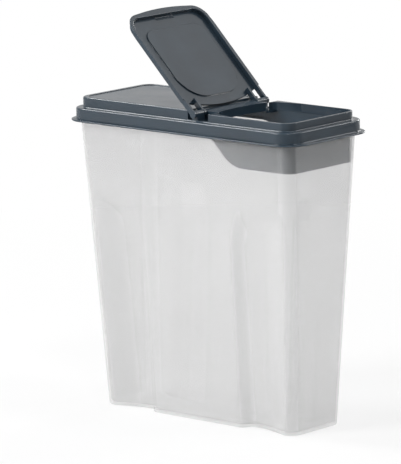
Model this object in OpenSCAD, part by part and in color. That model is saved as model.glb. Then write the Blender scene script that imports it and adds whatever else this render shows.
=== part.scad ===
// Tall cereal container: a drafted translucent tub with grip recesses, a two-tier
// lift-off lid with a pour collar, and a flip cap on two hinges.
// Length runs along X with the pouring end at +X, depth along Y, height along Z.
// The origin is the middle of the underside, and the cap is drawn standing open.

/* [Overall] */
// Length over the lid's lip
overall_length = 285.75; // [240:1:340]
// Depth over the lid's lip
overall_depth = 120.65; // [112:1:150]
// Height of the closed container
closed_height = 298.45; // [260:1:400]

/* [Tub] */
// Wall thickness of the tub
tub_wall = 2; // [1.5:0.1:2.4]
// Thickness of the tub's floor
floor_thickness = 2.6; // [1.6:0.1:4]
// How far each wall leans in per mm of height
draft_slope = 0.053; // [0.045:0.001:0.056]
// Radius of the tub's upright corners
tub_corner_r = 12; // [10:0.5:14]
// Radius under the tub's bottom edge
foot_r = 1.6; // [1:0.2:2.4]
// How far the bead stands out round the tub's rim
bead_out = 1.2; // [0.6:0.1:1.4]
// Height of the bead
bead_height = 3; // [2:0.5:5]

/* [Grip recesses] */
// Height of the top of each arch
arch_height = 207; // [150:1:225]
// Radius of the arch's inner corner
arch_r = 22; // [12:1:28]
// Distance from the middle to the steep side of a recess
recess_inner_x = 54; // [46:1:60]
// Width of the steep side
recess_step = 9; // [6:0.5:12]
// Depth at the foot of the tub
recess_depth_foot = 9.5; // [4:0.5:11]
// Depth just under the arch
recess_depth_arch = 4.5; // [2:0.5:7]

/* [Lid] */
// Wall thickness of the lid
lid_wall = 1.8; // [1.4:0.1:2.2]
// How far the lip stands out at the ends of the rim wall
lip_end = 5.6; // [3:0.1:6.4]
// How far the lip stands out along the long sides
lip_side = 3.8; // [1.5:0.1:4.6]
// Corner radius of the lip
lip_corner_r = 24; // [20:0.5:26]
// Thickness of the lip
lip_thickness = 1.5; // [1:0.1:2.2]
// Height of the rim wall, lip included
rim_height = 12.5; // [10:0.5:16]
// Height of the upper tier over the ledge
tier_height = 9.95; // [9.9:0.05:14]
// Width of the ledge between the tiers
ledge_width = 6.8; // [6:0.1:7.2]
// Outer corner radius of the rim wall
rim_corner_r = 19; // [18:0.5:22]
// Radius of the edges that are rounded over
edge_r = 1.5; // [0.8:0.1:1.7]
// Depth of the sunk panel in the lid's top
panel_sink = 0.6; // [0.3:0.1:0.8]
// Width of the border round that panel
panel_border = 4.5; // [3:0.5:8]
// Play between the lid's skirt and the tub's inner wall
skirt_play = 0.45; // [0.3:0.05:0.8]
// Depth of the shallow sealing skirt under the ledge
skirt_depth = 11; // [6:0.5:12]
// Thickness of the sealing skirt and of the pour collar
skirt_wall = 1.8; // [1.4:0.1:2.2]
// How far the pour collar hangs below the rim wall
collar_drop = 26; // [18:1:36]
// Where the collar's lower edge starts to fall
collar_start_x = 31; // [20:1:40]
// Length over which it falls
collar_fall = 40; // [34:1:50]

/* [Mouth] */
// Middle of the mouth's curved hinge-side edge
mouth_start_x = 29; // [28:0.5:34]
// How far that edge bows over the mouth's depth
mouth_bow = 5.5; // [3:0.5:8]
// Length of the slanting land beside the hinge
land_length = 23; // [16:1:30]
// How much the slanting land narrows the mouth
land_width = 5.4; // [3:0.2:8]
// Height that the wall under the hinge-side edge reaches down
mouth_wall_drop = 8; // [5:0.5:9]

/* [Hinge and cap] */
// Angle between the closed cap and the open one
open_angle = 135; // [120:1:135]
// Distance of the hinge axis from the middle
hinge_x = 17; // [17:0.25:18]
// Radius of the moulded hinge pins
pin_r = 1.7; // [1.4:0.1:1.9]
// Radial play of the pins in the arms
pin_play = 0.05; // [0.03:0.01:0.09]
// Radius of the eye at the end of each arm
eye_r = 3.4; // [3:0.1:3.4]
// Thickness of a hinge arm
arm_wall = 2.4; // [1.8:0.1:3]
// Width of the fixed knuckle between two arms
knuckle_width = 10.2; // [8:0.2:12]
// Thickness of the cap
cap_wall = 1.8; // [1.4:0.1:2]
// Play between the cap and the mouth's walls
cap_play = 0.4; // [0.3:0.05:0.6]
// How far the cap's walls reach down
cap_depth = 5.8; // [4.5:0.1:6.5]
// Width of the cap's brim at its sides
brim_side = 2.1; // [1:0.1:2.6]
// Width of the thumb lip at its free end
thumb_lip = 5.2; // [3:0.2:6]
// Thickness of the brim
brim_wall = 1.6; // [1:0.1:2]
// How far the thumb lip bows
lip_bow = 2.6; // [1:0.2:3]
// Height of the pad under the cap
pad_height = 1.2; // [0.6:0.1:2]
// Distance of the pad from the cap's side walls
pad_margin = 9.6; // [8:0.2:14]

/* [Hidden] */
$fn = 96;
seat_gap = 0.3;
eps = 0.01;
spare = 5;

// Lid levels and outlines. Every tier shares its corner centres with the rim wall.
ledge_z = closed_height - tier_height;
lid_bottom_z = ledge_z - rim_height;
mouth_z = closed_height - cap_wall - seat_gap;
rim_x = overall_length/2 - lip_end;
rim_y = overall_depth/2 - lip_side;
corner_x = rim_x - rim_corner_r;
corner_y = rim_y - rim_corner_r;
tier_r = rim_corner_r - ledge_width;
tier_x = corner_x + tier_r;
tier_y = corner_y + tier_r;

// Tub outline at its rim, set by the room inside the lid's rim wall.
tub_height = ledge_z - lid_wall - seat_gap;
bead_play = 0.6;
side_room = 2.4;
tub_rim_x = rim_x - lid_wall - bead_play - bead_out;
tub_rim_y = rim_y - lid_wall - bead_play - bead_out - side_room;
arc_steps = 6;

// Skirt and collar, which fit inside the tub at the level of their lower edges.
skirt_z = ledge_z - skirt_depth;
collar_z = lid_bottom_z - collar_drop;
skirt_x = tub_half_x(skirt_z) - tub_wall - skirt_play;
skirt_y = tub_half_y(skirt_z) - tub_wall - skirt_play;
collar_x = tub_half_x(collar_z) - tub_wall - skirt_play;
collar_y = tub_half_y(collar_z) - tub_wall - skirt_play;
inner_corner_r = tub_corner_r - tub_wall;

// Hinge: the axis lies as far under the lid's top as the arm's eye needs.
eye_cover = 0.05;
arm_gap = 0.5;
room_behind_eye = 5.2;
room_before_eye = 13.3;
room_beside_arm = 1.2;
hinge_z = closed_height - eye_r - eye_cover;
outer_arm_y = tier_y + cap_play;
knuckle_y = outer_arm_y - arm_gap - knuckle_width;
inner_arm_y = knuckle_y - arm_gap - arm_wall;
notch_start_x = hinge_x - eye_r - room_behind_eye;
notch_end_x = hinge_x + eye_r + room_before_eye;
notch_y = inner_arm_y - room_beside_arm;
pin_length = outer_arm_y + arm_wall - inner_arm_y;

// Cap outline when closed.
cap_half_y = tier_y + cap_play + cap_wall;
cap_end_x = tier_x + cap_play + cap_wall;
cap_corner_r = tier_r + cap_play + cap_wall;
cap_low_z = closed_height - cap_depth;
cap_start_x = hinge_x + 7;
cap_start_bow = 9.5;
wall_start_x = notch_end_x + arm_gap;
pad_end_x = cap_end_x - 16;
pad_start_x = hinge_x + 17.5;
pad_half_y = cap_half_y - cap_wall - pad_margin;
pad_free_r = 12;
pad_hinge_r = 28;
latch_slot = [2, 24, 0.8];
latch_slot_x = cap_end_x - cap_wall - 3.4;

function tub_half_x(z) = tub_rim_x - draft_slope*(tub_height - z);
function tub_half_y(z) = tub_rim_y - draft_slope*(tub_height - z);
function arc(cx, cy, r, from, to, n) = [for (i = [0:n]) let (a = from + (to - from)*i/n)
    [cx + r*cos(a), cy + r*sin(a)]];
function smooth(t) = let (c = min(max(t, 0), 1)) c*c*(3 - 2*c);
function mirror_y(points) = [for (i = [len(points) - 1:-1:0]) [points[i][0], -points[i][1]]];

// How far a recess pushes the wide face in, at distance x from the middle and height z.
// A larger grow widens the recess, for the skin inside the wall. The arch's edge is drawn
// out along the height by arch_slope, and its corner is round.
arch_slope = 0.55;
function recess(x, z, grow, face_end) = let (
    side = abs(x) - recess_inner_x + grow,
    below = (arch_height + grow - z)*arch_slope,
    in_corner = side < arch_r && below < arch_r && side > 0 && below > 0,
    edge = in_corner ? arch_r - norm([arch_r - side, arch_r - below]) : min(side, below),
    depth = recess_depth_foot - (recess_depth_foot - recess_depth_arch)*z/arch_height,
    floor_end = (recess_inner_x + recess_step + face_end)/2)
    depth*smooth(edge/recess_step)*(1 - smooth((abs(x) - floor_end)/(face_end - floor_end)));

// One level of the tub: a rounded rectangle whose wide faces carry the recesses.
face_shares = [-1, -0.93, -0.86, -0.78, -0.7, -0.62, -0.56, -0.53, -0.5, -0.47, -0.44, -0.41,
    -0.38, -0.2, 0, 0.2, 0.38, 0.41, 0.44, 0.47, 0.5, 0.53, 0.56, 0.62, 0.7, 0.78, 0.86, 0.93, 1];
function wide_face(half_x, half_y, r, z, grow) = [for (s = face_shares)
    let (x = share_x(s, half_x - r)) [x, -half_y + recess(x, z, grow, half_x - r)]];
function share_x(s, face_end) = let (a = abs(s), inner = 0.38, outer = 0.62,
    step_start = recess_inner_x - 2, step_end = recess_inner_x + recess_step + 6,
    x = a <= inner ? step_start*a/inner
        : a <= outer ? step_start + (step_end - step_start)*(a - inner)/(outer - inner)
        : step_end + (face_end - step_end)*(a - outer)/(1 - outer)) sign(s)*x;
function level(z, inset, grow, extra = 0) = let (
    half_x = tub_half_x(z) - inset + extra,
    half_y = tub_half_y(z) - inset + extra,
    r = tub_corner_r - inset + extra,
    cx = half_x - r,
    cy = half_y - r,
    front = wide_face(half_x, half_y, r, z, grow))
    [for (p = concat(
        front,
        [for (i = [1:arc_steps]) [cx + r*sin(90*i/arc_steps), -cy - r*cos(90*i/arc_steps)]],
        [[half_x, 0]],
        [for (i = [0:arc_steps - 1]) [cx + r*cos(90*i/arc_steps), cy + r*sin(90*i/arc_steps)]],
        [for (i = [len(front) - 1:-1:0]) [front[i][0], -front[i][1]]],
        [for (i = [1:arc_steps]) [-cx - r*sin(90*i/arc_steps), cy + r*cos(90*i/arc_steps)]],
        [[-half_x, 0]],
        [for (i = [0:arc_steps - 1]) [-cx - r*cos(90*i/arc_steps), -cy - r*sin(90*i/arc_steps)]]
    )) [p[0], p[1], z]];

// Heights of the levels, closer together under the arch.
arch_levels = [for (f = [0, 0.18, 0.36, 0.54, 0.7, 0.8]) arch_height*f];
crown_levels = [for (f = [0.85:0.03:1.0]) arch_height*f];
outer_levels = concat(
    [level(0, foot_r, foot_r)],
    [level(foot_r*0.3, foot_r*0.3, foot_r*0.3), level(foot_r, 0, 0)],
    [for (i = [1:len(arch_levels) - 1]) level(arch_levels[i], 0, 0)],
    [for (z = crown_levels) level(z, 0, 0)],
    [level(arch_height + 1, 0, 0), level(tub_height - bead_height, 0, 0)],
    [level(tub_height - bead_height + bead_out, 0, 0, bead_out)],
    [level(tub_height, 0, 0, bead_out)]);
inner_levels = concat(
    [level(tub_height, tub_wall, tub_wall/2)],
    [level(arch_height + 4, tub_wall, tub_wall/2)],
    [for (i = [len(crown_levels) - 1:-1:0]) level(crown_levels[i], tub_wall, tub_wall/2)],
    [for (i = [len(arch_levels) - 1:-1:1]) level(arch_levels[i], tub_wall, tub_wall/2)],
    [level(floor_thickness + foot_r, tub_wall, tub_wall/2)],
    [level(floor_thickness, tub_wall + foot_r, tub_wall)]);

module tub() {
    levels = concat(outer_levels, inner_levels);
    n = len(levels[0]);
    m = len(levels);
    points = concat([for (l = levels) each l], [[0, 0, 0], [0, 0, floor_thickness]]);
    color([0.93, 0.94, 0.95, 0.5])
        polyhedron(points, concat(
            [for (k = [0:m - 2]) for (i = [0:n - 1]) [k*n + i, (k + 1)*n + i, k*n + (i + 1)%n]],
            [for (k = [0:m - 2]) for (i = [0:n - 1])
                [k*n + (i + 1)%n, (k + 1)*n + i, (k + 1)*n + (i + 1)%n]],
            [for (i = [0:n - 1]) [m*n, i, (i + 1)%n]],
            [for (i = [0:n - 1]) [m*n + 1, (m - 1)*n + (i + 1)%n, (m - 1)*n + i]]));
}

// A rounded rectangle with exact arcs.
module rounded(half_x, half_y, r) {
    square([2*half_x, 2*(half_y - r)], center = true);
    square([2*(half_x - r), 2*half_y], center = true);
    for (sx = [-1, 1]) for (sy = [-1, 1])
        translate([sx*(half_x - r), sy*(half_y - r)]) circle(r);
}

module ring(half_x, half_y, r, wall, low, high) {
    translate([0, 0, low]) linear_extrude(high - low) difference() {
        rounded(half_x, half_y, r);
        rounded(half_x - wall, half_y - wall, r - wall);
    }
}

// Carries a profile, drawn as distance from the corner centre against height, round the lid.
module sweep_round(centre_x, centre_y) {
    for (sx = [0, 1]) for (sy = [0, 1]) mirror([sx, 0, 0]) mirror([0, sy, 0])
        translate([centre_x, centre_y, 0]) rotate_extrude(angle = 90) children();
    for (s = [0, 1]) mirror([0, s, 0])
        translate([-centre_x, centre_y, 0]) rotate([90, 0, 90]) linear_extrude(2*centre_x) children();
    for (s = [0, 1]) mirror([s, 0, 0])
        translate([centre_x, centre_y, 0]) rotate([90, 0, 0]) linear_extrude(2*centre_y) children();
}

// Lip round the foot of the rim wall. It flares most at the ends, where the lid is lifted.
module lip() {
    out_r = lip_corner_r;
    in_r = out_r - lip_end - lid_wall/2;
    round_r = 0.4*lip_thickness;
    edge_x = out_r - round_r;
    top_z = lid_bottom_z + lip_thickness;
    root_rise = 1;
    difference() {
        sweep_round(overall_length/2 - out_r, overall_depth/2 - out_r) polygon(concat(
            [[in_r, lid_bottom_z]],
            arc(edge_x, lid_bottom_z + round_r, round_r, -90, 0, 3),
            arc(edge_x, top_z - round_r, round_r, 0, 80, 3),
            [[out_r - lip_end/2, top_z + root_rise/3]],
            [[out_r - lip_end, top_z + root_rise]],
            [[in_r, top_z + root_rise]]));
        translate([0, 0, lid_bottom_z - 1]) linear_extrude(rim_height)
            rounded(rim_x - lid_wall, rim_y - lid_wall, rim_corner_r - lid_wall);
    }
}

// Section of the lid's two tiers, from the foot of the rim wall to the rounded top edge.
module tier_profile() {
    root_r = rim_corner_r - lid_wall;
    top_root = tier_r - lid_wall;
    top_start = top_root - 2;
    fillet = 1;
    polygon(concat(
        [[root_r, lid_bottom_z], [rim_corner_r, lid_bottom_z]],
        arc(rim_corner_r - edge_r, ledge_z - edge_r, edge_r, 0, 90, 6),
        arc(tier_r + fillet, ledge_z + fillet, fillet, 270, 180, 4),
        arc(tier_r - edge_r, closed_height - edge_r, edge_r, 0, 90, 6),
        [[top_start, closed_height], [top_start, closed_height - lid_wall]],
        [[top_root, closed_height - lid_wall], [top_root, ledge_z - lid_wall]],
        [[root_r, ledge_z - lid_wall]]));
}

// Outline of the mouth, all round larger by grow.
module mouth_outline(grow = 0) {
    inner_y = tier_y - lid_wall;
    end_r = tier_r - lid_wall;
    side_r = 6;
    side_y = inner_y - land_width;
    bow_r = (side_y*side_y + mouth_bow*mouth_bow)/(2*mouth_bow);
    bow_x = mouth_start_x + bow_r;
    tilt = atan2(land_width, land_length);
    side_x = mouth_start_x + mouth_bow + side_r;
    bow_angle = asin((side_y - side_r)/bow_r);
    half = concat(
        arc(corner_x, corner_y, end_r + grow, 0, 90, 10),
        [[side_x + land_length, inner_y + grow]],
        arc(side_x, side_y - side_r, side_r + grow, 90 + tilt, 180 - bow_angle, 8),
        arc(bow_x, 0, bow_r + grow, 180 - bow_angle + 1, 180, 12));
    polygon(concat(half, mirror_y(half)));
}

// Lower edge of the sealing skirt and collar, seen from the front: two arcs make the S.
module collar_side() {
    drop = skirt_z - collar_z;
    r = (collar_fall*collar_fall + drop*drop)/(4*drop);
    sweep = 2*atan2(drop, collar_fall);
    end_x = collar_start_x + collar_fall;
    back_x = collar_start_x - 12;
    polygon(concat(
        [[back_x, ledge_z - eps]],
        [[back_x, skirt_z]],
        arc(collar_start_x, skirt_z - r, r, 90, 90 - sweep, 10),
        arc(end_x, collar_z + r, r, 270 - sweep, 270, 10),
        [[overall_length, collar_z], [overall_length, ledge_z - eps]]));
}

// Inner shelf at the height of the ledge, from which the skirt and the collar hang.
module shelf() {
    translate([0, 0, ledge_z - lid_wall]) linear_extrude(lid_wall) difference() {
        rounded(tier_x, tier_y, tier_r);
        rounded(collar_x - skirt_wall, collar_y - skirt_wall, inner_corner_r - skirt_wall);
    }
}

module collar() {
    intersection() {
        ring(collar_x, collar_y, inner_corner_r, skirt_wall, collar_z, ledge_z - lid_wall/2);
        rotate([90, 0, 0]) translate([0, 0, -overall_depth/2]) linear_extrude(overall_depth)
            collar_side();
    }
}

// Room round one hinge: an open-sided pocket down to the ledge.
module notch(grow, low, high) {
    translate([notch_start_x - grow, notch_y - grow, low])
        cube([notch_end_x - notch_start_x + 2*grow, tier_y - notch_y + 2*grow, high - low]);
}

// Knuckle that stands in a notch, with a pin on each side.
module knuckle() {
    round_r = eye_r - 0.2;
    foot_z = ledge_z - lid_wall/2;
    translate([hinge_x, knuckle_y, hinge_z]) rotate([-90, 0, 0])
        cylinder(r = round_r, h = knuckle_width);
    translate([hinge_x - round_r, knuckle_y, foot_z])
        cube([2*round_r, knuckle_width, hinge_z - foot_z]);
    translate([hinge_x, inner_arm_y, hinge_z]) rotate([-90, 0, 0])
        cylinder(r = pin_r, h = pin_length);
}

module lid() {
    color([0.27, 0.3, 0.34]) {
        difference() {
            union() {
                sweep_round(corner_x, corner_y) tier_profile();
                lip();
                translate([0, 0, closed_height - lid_wall]) linear_extrude(lid_wall)
                    rounded(tier_x - lid_wall - 1, tier_y - lid_wall - 1, tier_r - lid_wall - 1);
                translate([notch_start_x - lid_wall, -tier_y + 1, mouth_z - lid_wall])
                    cube([corner_x - notch_start_x, 2*tier_y - 2, lid_wall]);
                for (s = [0, 1]) mirror([0, s, 0]) intersection() {
                    notch(lid_wall, ledge_z - lid_wall, closed_height - lid_wall/2);
                    linear_extrude(closed_height) rounded(tier_x - 1, tier_y - 1, tier_r - 1);
                }
                translate([0, 0, mouth_z - mouth_wall_drop]) linear_extrude(mouth_wall_drop)
                    intersection() {
                        mouth_outline(skirt_wall);
                        rounded(tier_x - 1, tier_y - 1, tier_r - 1);
                    }
            }
            translate([notch_start_x, -overall_depth/2, mouth_z])
                cube([overall_length, overall_depth, closed_height]);
            translate([0, 0, collar_z]) linear_extrude(closed_height) mouth_outline();
            for (s = [0, 1]) mirror([0, s, 0]) intersection() {
                notch(0, ledge_z, closed_height + 1);
                translate([0, notch_y, ledge_z]) cube([overall_length, overall_depth, tier_height + 1]);
            }
            translate([0, 0, closed_height - panel_sink]) linear_extrude(1 + panel_sink)
                intersection() {
                    rounded(tier_x - panel_border, tier_y - panel_border, tier_r - panel_border);
                    translate([-tier_x, -tier_y])
                        square([tier_x + notch_start_x - panel_border, 2*tier_y]);
                }
        }
        for (s = [0, 1]) mirror([0, s, 0]) knuckle();
        ring(skirt_x, skirt_y, inner_corner_r, skirt_wall, skirt_z, ledge_z - eps);
        shelf();
        collar();
    }
}

// Closed outline of the cap. The hinge side bulges towards the axis, the free end bows out.
module cap_outline(side, end, bow) {
    half_y = cap_half_y + side;
    end_x = cap_end_x + end;
    r = cap_corner_r + side;
    free_y = half_y - r;
    start_r = (half_y*half_y + cap_start_bow*cap_start_bow)/(2*cap_start_bow);
    start_angle = asin(half_y/start_r);
    free_r = (free_y*free_y + bow*bow)/(2*bow);
    free_angle = asin(free_y/free_r);
    half = concat(
        arc(end_x - free_r, 0, free_r, 0, free_angle - 0.5, 5),
        arc(end_x - bow - r, free_y, r, free_angle, 90, 9),
        arc(cap_start_x + start_r, 0, start_r, 180 - start_angle, 180, 10));
    polygon(concat(half, mirror_y(half)));
}

// Pad with large corners towards the hinge and smaller ones at the free end.
module pad_outline() {
    free_x = pad_end_x - pad_free_r;
    hinge_side_x = pad_start_x + pad_hinge_r;
    half = concat(
        arc(free_x, pad_half_y - pad_free_r, pad_free_r, 0, 90, 9),
        arc(hinge_side_x, pad_half_y - pad_hinge_r, pad_hinge_r, 90, 180, 12));
    polygon(concat(half, mirror_y(half)));
}

// Hinge arm with its eye, which reaches from the axis to reach_x.
module arm(low_y, reach_x) {
    top_z = closed_height - cap_wall/2;
    translate([hinge_x, low_y, hinge_z]) rotate([-90, 0, 0]) cylinder(r = eye_r, h = arm_wall);
    translate([hinge_x, low_y, cap_low_z]) cube([reach_x - hinge_x, arm_wall, top_z - cap_low_z]);
}

module closed_cap() {
    under = closed_height - cap_wall;
    difference() {
        union() {
            translate([0, 0, under]) linear_extrude(cap_wall) cap_outline(0, 0, lip_bow/4);
            difference() {
                union() {
                    translate([0, 0, cap_low_z]) linear_extrude(under - cap_low_z + 1)
                        cap_outline(0, 0, lip_bow/4);
                    translate([0, 0, cap_low_z]) linear_extrude(brim_wall)
                        cap_outline(brim_side, thumb_lip, lip_bow);
                }
                translate([0, 0, cap_low_z - 1]) linear_extrude(under - cap_low_z + 1)
                    rounded(tier_x + cap_play, tier_y + cap_play, tier_r + cap_play);
                translate([0, -overall_depth/2, cap_low_z - 1])
                    cube([wall_start_x, overall_depth, closed_height - cap_low_z]);
            }
            translate([0, 0, under - pad_height]) linear_extrude(pad_height + 1) pad_outline();
            for (s = [0, 1]) mirror([0, s, 0]) {
                arm(outer_arm_y, wall_start_x + spare);
                arm(inner_arm_y, notch_end_x - cap_play);
            }
        }
        for (s = [0, 1]) mirror([0, s, 0])
            translate([hinge_x, inner_arm_y - 1, hinge_z]) rotate([-90, 0, 0])
                cylinder(r = pin_r + pin_play, h = pin_length + 2);
        translate([latch_slot_x, -latch_slot[1]/2, under - eps]) cube(latch_slot);
    }
}

module flip_cap() {
    color([0.3, 0.33, 0.37])
        translate([hinge_x, 0, hinge_z]) rotate([0, -open_angle, 0]) translate([-hinge_x, 0, -hinge_z])
            closed_cap();
}

tub();
lid();
flip_cap();
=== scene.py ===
# Cereal container with a flip spout: frosted tub, slate lid and slate flip cap in a white studio.
import math
import bpy
from mathutils import Matrix, Vector


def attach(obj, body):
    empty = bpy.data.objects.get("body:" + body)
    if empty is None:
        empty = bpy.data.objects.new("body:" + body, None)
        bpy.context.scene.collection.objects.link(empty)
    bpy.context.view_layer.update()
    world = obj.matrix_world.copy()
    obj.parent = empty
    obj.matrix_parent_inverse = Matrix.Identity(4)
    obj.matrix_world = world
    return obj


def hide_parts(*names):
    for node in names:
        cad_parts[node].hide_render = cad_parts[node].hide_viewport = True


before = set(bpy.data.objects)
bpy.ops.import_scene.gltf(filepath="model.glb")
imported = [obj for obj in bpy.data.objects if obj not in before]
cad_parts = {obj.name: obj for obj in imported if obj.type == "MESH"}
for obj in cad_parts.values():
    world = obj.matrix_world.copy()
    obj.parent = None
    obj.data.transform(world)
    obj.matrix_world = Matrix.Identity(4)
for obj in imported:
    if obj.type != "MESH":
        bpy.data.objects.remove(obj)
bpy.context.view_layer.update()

bpy.ops.object.select_all(action="DESELECT")


def linearColour(hexColour):
    channels = [int(hexColour[i:i + 2], 16) / 255 for i in (1, 3, 5)]
    return tuple(c / 12.92 if c <= 0.04045 else ((c + 0.055) / 1.055) ** 2.4 for c in channels) + (1.0,)


def addNode(tree, kind, settings=None, **links):
    # A setting is a socket's value or a property of the node. An underscore in a link's name is a space.
    node = tree.nodes.new(kind)
    for name, value in (settings or {}).items():
        if name in node.inputs:
            node.inputs[name].default_value = value
        else:
            setattr(node, name, value)
    for name, source in links.items():
        tree.links.new(source, node.inputs[name.replace("_", " ")])
    return node


def newMaterial(name):
    material = bpy.data.materials.new(name)
    material.use_nodes = True
    material.node_tree.nodes.clear()
    return material, material.node_tree


# Camera, at the photograph's angle. The frame is taken as 401 wide and 464 high.
cameraView = {
    "azimuth": 41.6375,  # degrees from the front towards the pouring end
    "elevation": 10.71,
    "roll": -1.108,
    "distance": 4.335,
    "target": (-0.02272, 0.0, 0.17222),
    "lens": 412.68,
    "sensor": 36.0,
    "reach": 50,
}


def addCamera(view):
    turn = (Matrix.Rotation(math.radians(view["azimuth"]), 4, "Z")
            @ Matrix.Rotation(math.radians(90 - view["elevation"]), 4, "X")
            @ Matrix.Rotation(math.radians(view["roll"]), 4, "Z"))
    place = Vector(view["target"]) + turn @ Vector((0, 0, view["distance"]))
    data = bpy.data.cameras.new("camera")
    data.sensor_fit = "HORIZONTAL"
    data.sensor_width = view["sensor"]
    data.lens = view["lens"]
    data.clip_end = view["reach"]
    camera = bpy.data.objects.new("camera", data)
    camera.matrix_world = Matrix.Translation(place) @ turn
    bpy.context.collection.objects.link(camera)
    bpy.context.scene.camera = camera


addCamera(cameraView)
print("camera set")

# Slate polypropylene of the lid and the cap: coloured through, satin from a fine-blasted mould, so
# its faces stay even and only its rounded edges shine.
slatePlastic = {
    "tones": ("#222e38", "#26343f"),
    "toneStops": (0.35, 0.65),
    "cloudSize": 38,  # mm, slow change of tone where the melt flowed
    "cloudDetail": 3.0,
    "grainSize": 0.5,  # mm, the blasted mould is finer, drawn this coarse to show
    "waveSize": 30,  # mm, slight unevenness that bends reflections
    "roughness": (0.19, 0.26),
    "roughStops": (0.3, 0.7),
    "ior": 1.49,
    "grainDepth": 0.00001,
    "waveDepth": 0.00006,
}

# Frosted polypropylene of the tub: uncoloured and milky, and thin enough to see the collar through it.
frostedPlastic = {
    "tones": ("#cbcbcb", "#d0d0d0"),
    "toneStops": (0.3, 0.7),
    "cloudSize": 70,  # mm, slow change of milkiness with the wall
    "cloudDetail": 2.0,
    "grainSize": 0.8,  # mm, the frosting is finer, drawn this coarse to show
    "waveSize": 60,  # mm, unevenness of a large thin wall
    "roughness": 0.22,
    "ior": 1.49,
    "seeThrough": 0.63,  # share of the light that passes straight on
    "glow": 0.62,  # share of the rest that is scattered through the wall
    "grainDepth": 0.000004,
    "waveDepth": 0.00012,
}
grainDetail = 2.0


def addNoise(tree, place, sizeInMm, detail):
    noise = addNode(tree, "ShaderNodeTexNoise", {"Scale": 1000 / sizeInMm, "Detail": detail}, Vector=place)
    return noise.outputs["Fac"]


def addMouldedSkin(tree, look):
    # The noise, the tone and the relief that both plastics have from their moulds.
    place = addNode(tree, "ShaderNodeTexCoord").outputs["Object"]
    cloud = addNoise(tree, place, look["cloudSize"], look["cloudDetail"])
    grain = addNoise(tree, place, look["grainSize"], grainDetail)
    wave = addNoise(tree, place, look["waveSize"], 0.0)
    tone = addNode(tree, "ShaderNodeValToRGB", None, Fac=cloud)
    for stop, position, colour in zip(tone.color_ramp.elements, look["toneStops"], look["tones"]):
        stop.position = position
        stop.color = linearColour(colour)
    waves = addNode(tree, "ShaderNodeBump", {"Distance": look["waveDepth"]}, Height=wave)
    relief = addNode(tree, "ShaderNodeBump", {"Distance": look["grainDepth"]},
                     Height=grain, Normal=waves.outputs["Normal"])
    return cloud, tone.outputs["Color"], relief.outputs["Normal"]


def makeSlatePlastic(look, name):
    material, tree = newMaterial(name)
    cloud, tone, relief = addMouldedSkin(tree, look)
    roughMin, roughMax = look["roughness"]
    stopMin, stopMax = look["roughStops"]
    rough = addNode(tree, "ShaderNodeMapRange",
                    {"From Min": stopMin, "From Max": stopMax, "To Min": roughMin, "To Max": roughMax},
                    Value=cloud)
    surface = addNode(tree, "ShaderNodeBsdfPrincipled", {"IOR": look["ior"]},
                      Base_Color=tone, Roughness=rough.outputs["Result"], Normal=relief)
    addNode(tree, "ShaderNodeOutputMaterial", None, Surface=surface.outputs["BSDF"])
    return material


def makeFrostedPlastic(look, name):
    material, tree = newMaterial(name)
    cloud, tone, relief = addMouldedSkin(tree, look)
    surface = addNode(tree, "ShaderNodeBsdfPrincipled",
                      {"IOR": look["ior"], "Roughness": look["roughness"],
                       "Transmission Weight": look["glow"], "Alpha": 1 - look["seeThrough"]},
                      Base_Color=tone, Normal=relief)
    addNode(tree, "ShaderNodeOutputMaterial", None, Surface=surface.outputs["BSDF"])
    return material


lidPlastic = makeSlatePlastic(slatePlastic, "slateMouldedPp")
tubPlastic = makeFrostedPlastic(frostedPlastic, "frostedMouldedPp")
print("plastics made")

# Lengths and angles shared by all pieces.
joinDistance = 0.000004
smoothAngle = 28  # degrees, a sharper edge stays an edge
slack = 0.0001  # metres within which a face or an edge is found by its place
upright = 0.9  # least share of a normal that makes a face level


def near(one, other):
    return abs(one - other) < slack


def copyOfNode(nodeName, pieceName):
    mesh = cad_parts[nodeName].data.copy()
    piece = bpy.data.objects.new(pieceName, mesh)
    bpy.context.collection.objects.link(piece)
    bpy.context.view_layer.objects.active = piece
    piece.select_set(True)
    bpy.ops.object.mode_set(mode="EDIT")
    bpy.ops.mesh.select_all(action="SELECT")
    bpy.ops.mesh.remove_doubles(threshold=joinDistance)
    bpy.ops.object.mode_set(mode="OBJECT")
    return piece


def finishPiece(piece, nodeName, material):
    bpy.ops.object.shade_smooth_by_angle(angle=math.radians(smoothAngle))
    even = piece.modifiers.new("evenNormals", "WEIGHTED_NORMAL")
    even.keep_sharp = True
    bpy.ops.object.modifier_apply(modifier=even.name)
    piece.data.materials.clear()
    piece.data.materials.append(material)
    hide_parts(nodeName)
    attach(piece, nodeName)
    piece.select_set(False)


# Tub: the loft's triangles are joined to quads again, so that its walls shade as one smooth skin.
tubShell = {"quadAngle": 30, "shapeAngle": 180}


def makeTub(look):
    piece = copyOfNode("tub", "tubShell")
    bpy.ops.object.mode_set(mode="EDIT")
    bpy.ops.mesh.select_all(action="SELECT")
    bpy.ops.mesh.tris_convert_to_quads(face_threshold=math.radians(look["quadAngle"]),
                                       shape_threshold=math.radians(look["shapeAngle"]))
    bpy.ops.object.mode_set(mode="OBJECT")
    finishPiece(piece, "tub", tubPlastic)


def selectVertices(mesh, test):
    bpy.ops.mesh.select_all(action="DESELECT")
    bpy.ops.object.mode_set(mode="OBJECT")
    for vertex in mesh.vertices:
        vertex.select = test(vertex.co)
    bpy.ops.object.mode_set(mode="EDIT")


def selectFaces(mesh, test):
    bpy.ops.mesh.select_all(action="DESELECT")
    bpy.ops.object.mode_set(mode="OBJECT")
    for polygon in mesh.polygons:
        polygon.select = test(polygon.center, polygon.normal)
    bpy.ops.object.mode_set(mode="EDIT")


def selectEdges(mesh, test):
    bpy.ops.mesh.select_all(action="DESELECT")
    bpy.ops.object.mode_set(mode="OBJECT")
    for edge in mesh.edges:
        edge.select = test(*(mesh.vertices[i].co for i in edge.vertices))
    bpy.ops.object.mode_set(mode="EDIT")


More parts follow.
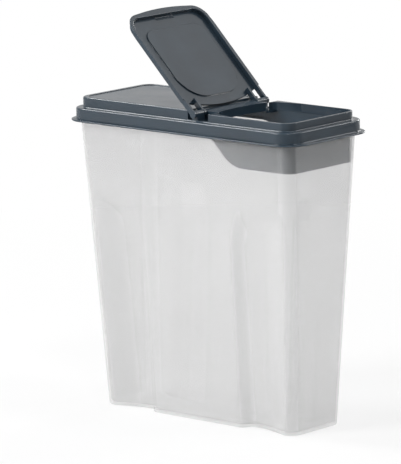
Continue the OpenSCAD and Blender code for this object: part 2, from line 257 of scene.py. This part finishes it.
# Pour collar under the lid, seen through the tub's wall as a grey band that starts in a soft S.
collarBand = {
    "halfSize": (0.12928, 0.04613),
    "corner": 0.01,
    "wall": 0.0018,
    "low": 0.2489,
    "high": 0.279,
    "levelTop": 0.2775,  # the underside of the lid, where the S begins
    "slopeStart": 0.0303,
    "slopeEnd": 0.0586,
    "easing": 0.012,  # how far each bend of the S reaches along its sides
    "steps": 12,  # of each bend and of each corner
    "cutterHalf": (0.2, 0.1),
    "cutterFloor": 0.2,
}


def addBox(low, high):
    middle = [(a + b) / 2 for a, b in zip(low, high)]
    bpy.ops.mesh.primitive_cube_add(size=1, location=middle, scale=[b - a for a, b in zip(low, high)])
    bpy.ops.object.transform_apply(location=True, rotation=True, scale=True)
    bpy.ops.object.mode_set(mode="EDIT")
    bpy.ops.mesh.select_mode(type="EDGE")
    return bpy.context.active_object


def makeCutter(look):
    # The room below the collar: its top steps down along the S towards the pouring end.
    halfX, halfY = look["cutterHalf"]
    start, end, top, low = look["slopeStart"], look["slopeEnd"], look["levelTop"], look["low"]
    cutter = addBox((-halfX, -halfY, look["cutterFloor"]), (halfX, halfY, low))
    mesh = cutter.data
    bpy.ops.mesh.bisect(plane_co=(end, 0, 0), plane_no=(1, 0, 0))
    selectFaces(mesh, lambda middle, normal: normal.z > upright and middle.x < end)
    bpy.ops.mesh.extrude_region_move(TRANSFORM_OT_translate={"value": (0, 0, top - low)})
    selectEdges(mesh, lambda *ends: all(near(point.x, end) and near(point.z, top) for point in ends))
    bpy.ops.transform.translate(value=(start - end, 0, 0))
    bends = ((start, top), (end, low))
    selectEdges(mesh, lambda *ends: any(all(near(point.x, x) and near(point.z, z) for point in ends)
                                        for x, z in bends))
    bpy.ops.mesh.bevel(offset=look["easing"], segments=look["steps"])
    bpy.ops.object.mode_set(mode="OBJECT")
    cutter.select_set(False)
    return cutter


def makeCollar(look):
    cutter = makeCutter(look)
    halfX, halfY = look["halfSize"]
    collar = addBox((-halfX, -halfY, look["low"]), (halfX, halfY, look["high"]))
    selectEdges(collar.data, lambda a, b: not near(a.z, b.z))
    bpy.ops.mesh.bevel(offset=look["corner"], segments=look["steps"])
    selectFaces(collar.data, lambda middle, normal: abs(normal.z) > upright)
    bpy.ops.mesh.delete(type="FACE")
    bpy.ops.object.mode_set(mode="OBJECT")
    wall = collar.modifiers.new("wall", "SOLIDIFY")
    wall.thickness = look["wall"]
    wall.offset = -1
    bpy.ops.object.modifier_apply(modifier=wall.name)
    fall = collar.modifiers.new("fall", "BOOLEAN")
    fall.operation = "DIFFERENCE"
    fall.solver = "EXACT"
    fall.object = cutter
    bpy.ops.object.modifier_apply(modifier=fall.name)
    bpy.data.objects.remove(cutter)
    collar.select_set(False)
    return collar


# Lid and cap: exact mouldings whose outer edges get the small radius of a real mould.
edgeBreak = {
    "width": 0.0006,
    "segments": 4,
    "angle": 32,  # degrees, sharper edges only
    "shortest": 0.0003,
    "crumb": 0.0002,  # shorter edges of the outer wall are closed first, since they spoil its shading
    "outerWall": (0.132, 0.0555),
    "flatAngle": 0.6,  # degrees, faces closer to one plane are joined
}
lidMoulding = {
    "edgeLevels": (0.2885, 0.29845),  # the ledge and the raised rim round the panel
    "mouthLevel": 0.29635,
    "mouthOutline": (0.130475, 0.049725, 0.0122),  # half length, half depth and corner radius
    "outlineSlack": 0.0006,
    "levelSlack": 0.00002,
    "trimLevel": 0.2758,
}
flipCapMoulding = {
    "hingeAxis": (0.017, 0.295),
    "hingeRoom": 0.03,  # edges nearer to the hinge keep their exact fit
}


def outerEdges(mesh, look):
    # Edges between two faces that turn outwards by more than the angle.
    sides = {}
    for polygon in mesh.polygons:
        for key in polygon.edge_keys:
            sides.setdefault(key, []).append(polygon)
    flattest = math.cos(math.radians(look["angle"]))
    for edge in mesh.edges:
        pair = sides.get(edge.key, [])
        if len(pair) != 2:
            continue
        one, other = pair
        ends = [mesh.vertices[i].co for i in edge.vertices]
        turned = one.normal.dot(other.normal) < flattest
        outwards = (other.center - ends[0]).dot(one.normal) < 0
        if turned and outwards and (ends[1] - ends[0]).length > look["shortest"]:
            yield edge, ends


def onMouthOutline(point):
    halfX, halfY, radius = lidMoulding["mouthOutline"]
    overX, overY = abs(point.x) - halfX + radius, abs(point.y) - halfY + radius
    reach = math.hypot(overX, overY) if min(overX, overY) > 0 else max(overX, overY)
    return abs(reach - radius) < lidMoulding["outlineSlack"]


def onLevel(ends, level):
    return all(abs(point.z - level) < lidMoulding["levelSlack"] for point in ends)


def isLidEdge(ends):
    if onLevel(ends, lidMoulding["mouthLevel"]) and all(map(onMouthOutline, ends)):
        return True
    return any(onLevel(ends, level) for level in lidMoulding["edgeLevels"])


def isCapEdge(ends):
    x, z = flipCapMoulding["hingeAxis"]
    return all(math.hypot(point.x - x, point.z - z) > flipCapMoulding["hingeRoom"] for point in ends)


def breakEdges(piece, look, chosen):
    wallX, wallY = look["outerWall"]
    bpy.ops.object.mode_set(mode="EDIT")
    bpy.ops.mesh.select_mode(type="VERT")
    selectVertices(piece.data, lambda point: abs(point.x) > wallX or abs(point.y) > wallY)
    bpy.ops.mesh.dissolve_degenerate(threshold=look["crumb"])
    bpy.ops.mesh.select_all(action="SELECT")
    bpy.ops.mesh.dissolve_limited(angle_limit=math.radians(look["flatAngle"]))
    bpy.ops.object.mode_set(mode="OBJECT")
    picked = [edge.index for edge, ends in outerEdges(piece.data, look) if chosen(ends)]
    weight = piece.data.attributes.new("bevel_weight_edge", "FLOAT", "EDGE")
    for index in picked:
        weight.data[index].value = 1.0
    bevel = piece.modifiers.new("edges", "BEVEL")
    bevel.width = look["width"]
    bevel.segments = look["segments"]
    bevel.limit_method = "WEIGHT"
    bevel.use_clamp_overlap = False
    bpy.ops.object.modifier_apply(modifier=bevel.name)


def swapCollar(pourCollar, level):
    # The solid's own collar starts later than the real one, so the new one takes its place.
    bpy.ops.object.mode_set(mode="EDIT")
    bpy.ops.mesh.select_all(action="SELECT")
    bpy.ops.mesh.bisect(plane_co=(0, 0, level), plane_no=(0, 0, 1), use_fill=True, clear_inner=True)
    bpy.ops.object.mode_set(mode="OBJECT")
    pourCollar.select_set(True)
    bpy.ops.object.join()


def makeMoulding(nodeName, pieceName, chosen, pourCollar=None):
    piece = copyOfNode(nodeName, pieceName)
    if pourCollar:
        swapCollar(pourCollar, lidMoulding["trimLevel"])
    breakEdges(piece, edgeBreak, chosen)
    finishPiece(piece, nodeName, lidPlastic)


makeTub(tubShell)
print("tub made")
makeMoulding("lid", "lidMoulding", isLidEdge, makeCollar(collarBand))
print("lid made")
makeMoulding("flip_cap", "flipCapMoulding", isCapEdge)
print("cap made")

# Studio: a white floor that keeps a soft shadow, and a white world whose strength depends on the ray.
studio = {
    "floorSize": 12,
    "floorDrop": 0.0003,
    "floorTone": "#d6d6d6",
    "shadowReach": (0.35, 1.1),  # metres from the tub over which the floor turns plain white
    "floorLift": 0.72,  # share of plain white close to the tub
    "worldLevel": 0.3,
    "mirrorLevel": 0.75,
}

# Soft lights. The key lights the wide front, and each of the others shines on one set of edges.
lamps = [
    {"name": "keyLight", "place": (-1.2, -2.6, 1.7), "size": (1.2, 1.2), "power": 92},
    {"name": "edgeLight", "place": (-1.9, -0.5, 2.3), "size": (0.6, 0.6), "power": 36},
    {"name": "cornerLight", "place": (1.5, -1.26, 2.5), "size": (0.4, 0.4), "power": 16},
    {"name": "topLight", "place": (1.3, 0.5, 2.9), "size": (0.5, 0.5), "power": 16},
    {"name": "backLight", "place": (1.45, 2.2, 1.6), "size": (0.5, 0.5), "power": 12},
    {"name": "capLight", "place": (0.6, 2.4, 2.3), "size": (2.0, 1.6), "power": 6},
    {"name": "rimLight", "place": (-0.4, 2.8, 1.2), "size": (0.7, 0.7), "power": 26},
]
lampAim = (0, 0, 0.2)


def makeFloor(look):
    bpy.ops.mesh.primitive_plane_add(size=look["floorSize"], location=(0, 0, -look["floorDrop"]))
    floor = bpy.context.active_object
    floor.name = "floor"
    material, tree = newMaterial("whiteFloor")
    path = addNode(tree, "ShaderNodeLightPath")
    seen = addNode(tree, "ShaderNodeMath", {"operation": "ADD", "use_clamp": True})
    tree.links.new(path.outputs["Is Camera Ray"], seen.inputs[0])
    tree.links.new(path.outputs["Is Transmission Ray"], seen.inputs[1])
    place = addNode(tree, "ShaderNodeTexCoord").outputs["Object"]
    reach = addNode(tree, "ShaderNodeVectorMath", {"operation": "LENGTH"}, Vector=place)
    nearest, farthest = look["shadowReach"]
    white = addNode(tree, "ShaderNodeMapRange",
                    {"From Min": nearest, "From Max": farthest, "To Min": look["floorLift"], "To Max": 1.0},
                    Value=reach.outputs["Value"])
    lift = addNode(tree, "ShaderNodeMath", {"operation": "MULTIPLY"})
    tree.links.new(seen.outputs[0], lift.inputs[0])
    tree.links.new(white.outputs["Result"], lift.inputs[1])
    matt = addNode(tree, "ShaderNodeBsdfDiffuse", {"Color": linearColour(look["floorTone"])})
    glow = addNode(tree, "ShaderNodeEmission", {"Strength": 1.0})
    mix = addNode(tree, "ShaderNodeMixShader", None, Fac=lift.outputs[0])
    tree.links.new(matt.outputs[0], mix.inputs[1])
    tree.links.new(glow.outputs[0], mix.inputs[2])
    addNode(tree, "ShaderNodeOutputMaterial", None, Surface=mix.outputs[0])
    floor.data.materials.append(material)
    floor.select_set(False)


def makeWorld(look):
    world = bpy.data.worlds.new("whiteWorld")
    world.use_nodes = True
    tree = world.node_tree
    tree.nodes.clear()
    path = addNode(tree, "ShaderNodeLightPath")
    seen = addNode(tree, "ShaderNodeMath", {"operation": "MAXIMUM"})
    tree.links.new(path.outputs["Is Camera Ray"], seen.inputs[0])
    tree.links.new(path.outputs["Is Transmission Ray"], seen.inputs[1])
    mirrored = addNode(tree, "ShaderNodeMapRange",
                       {"To Min": look["worldLevel"], "To Max": look["mirrorLevel"]},
                       Value=path.outputs["Is Glossy Ray"])
    level = addNode(tree, "ShaderNodeMapRange", {"To Max": 1.0},
                    Value=seen.outputs[0], To_Min=mirrored.outputs["Result"])
    sky = addNode(tree, "ShaderNodeBackground", {"Color": (1, 1, 1, 1)}, Strength=level.outputs["Result"])
    addNode(tree, "ShaderNodeOutputWorld", None, Surface=sky.outputs[0])
    bpy.context.scene.world = world


def addLamp(name, place, size, power):
    data = bpy.data.lights.new(name, "AREA")
    data.shape = "RECTANGLE"
    data.size, data.size_y = size
    data.energy = power
    light = bpy.data.objects.new(name, data)
    light.location = place
    light.rotation_euler = (Vector(lampAim) - Vector(place)).to_track_quat("-Z", "Y").to_euler()
    bpy.context.collection.objects.link(light)


makeFloor(studio)
makeWorld(studio)
for lamp in lamps:
    addLamp(**lamp)
bpy.context.scene.view_settings.view_transform = "Standard"
print("studio set")
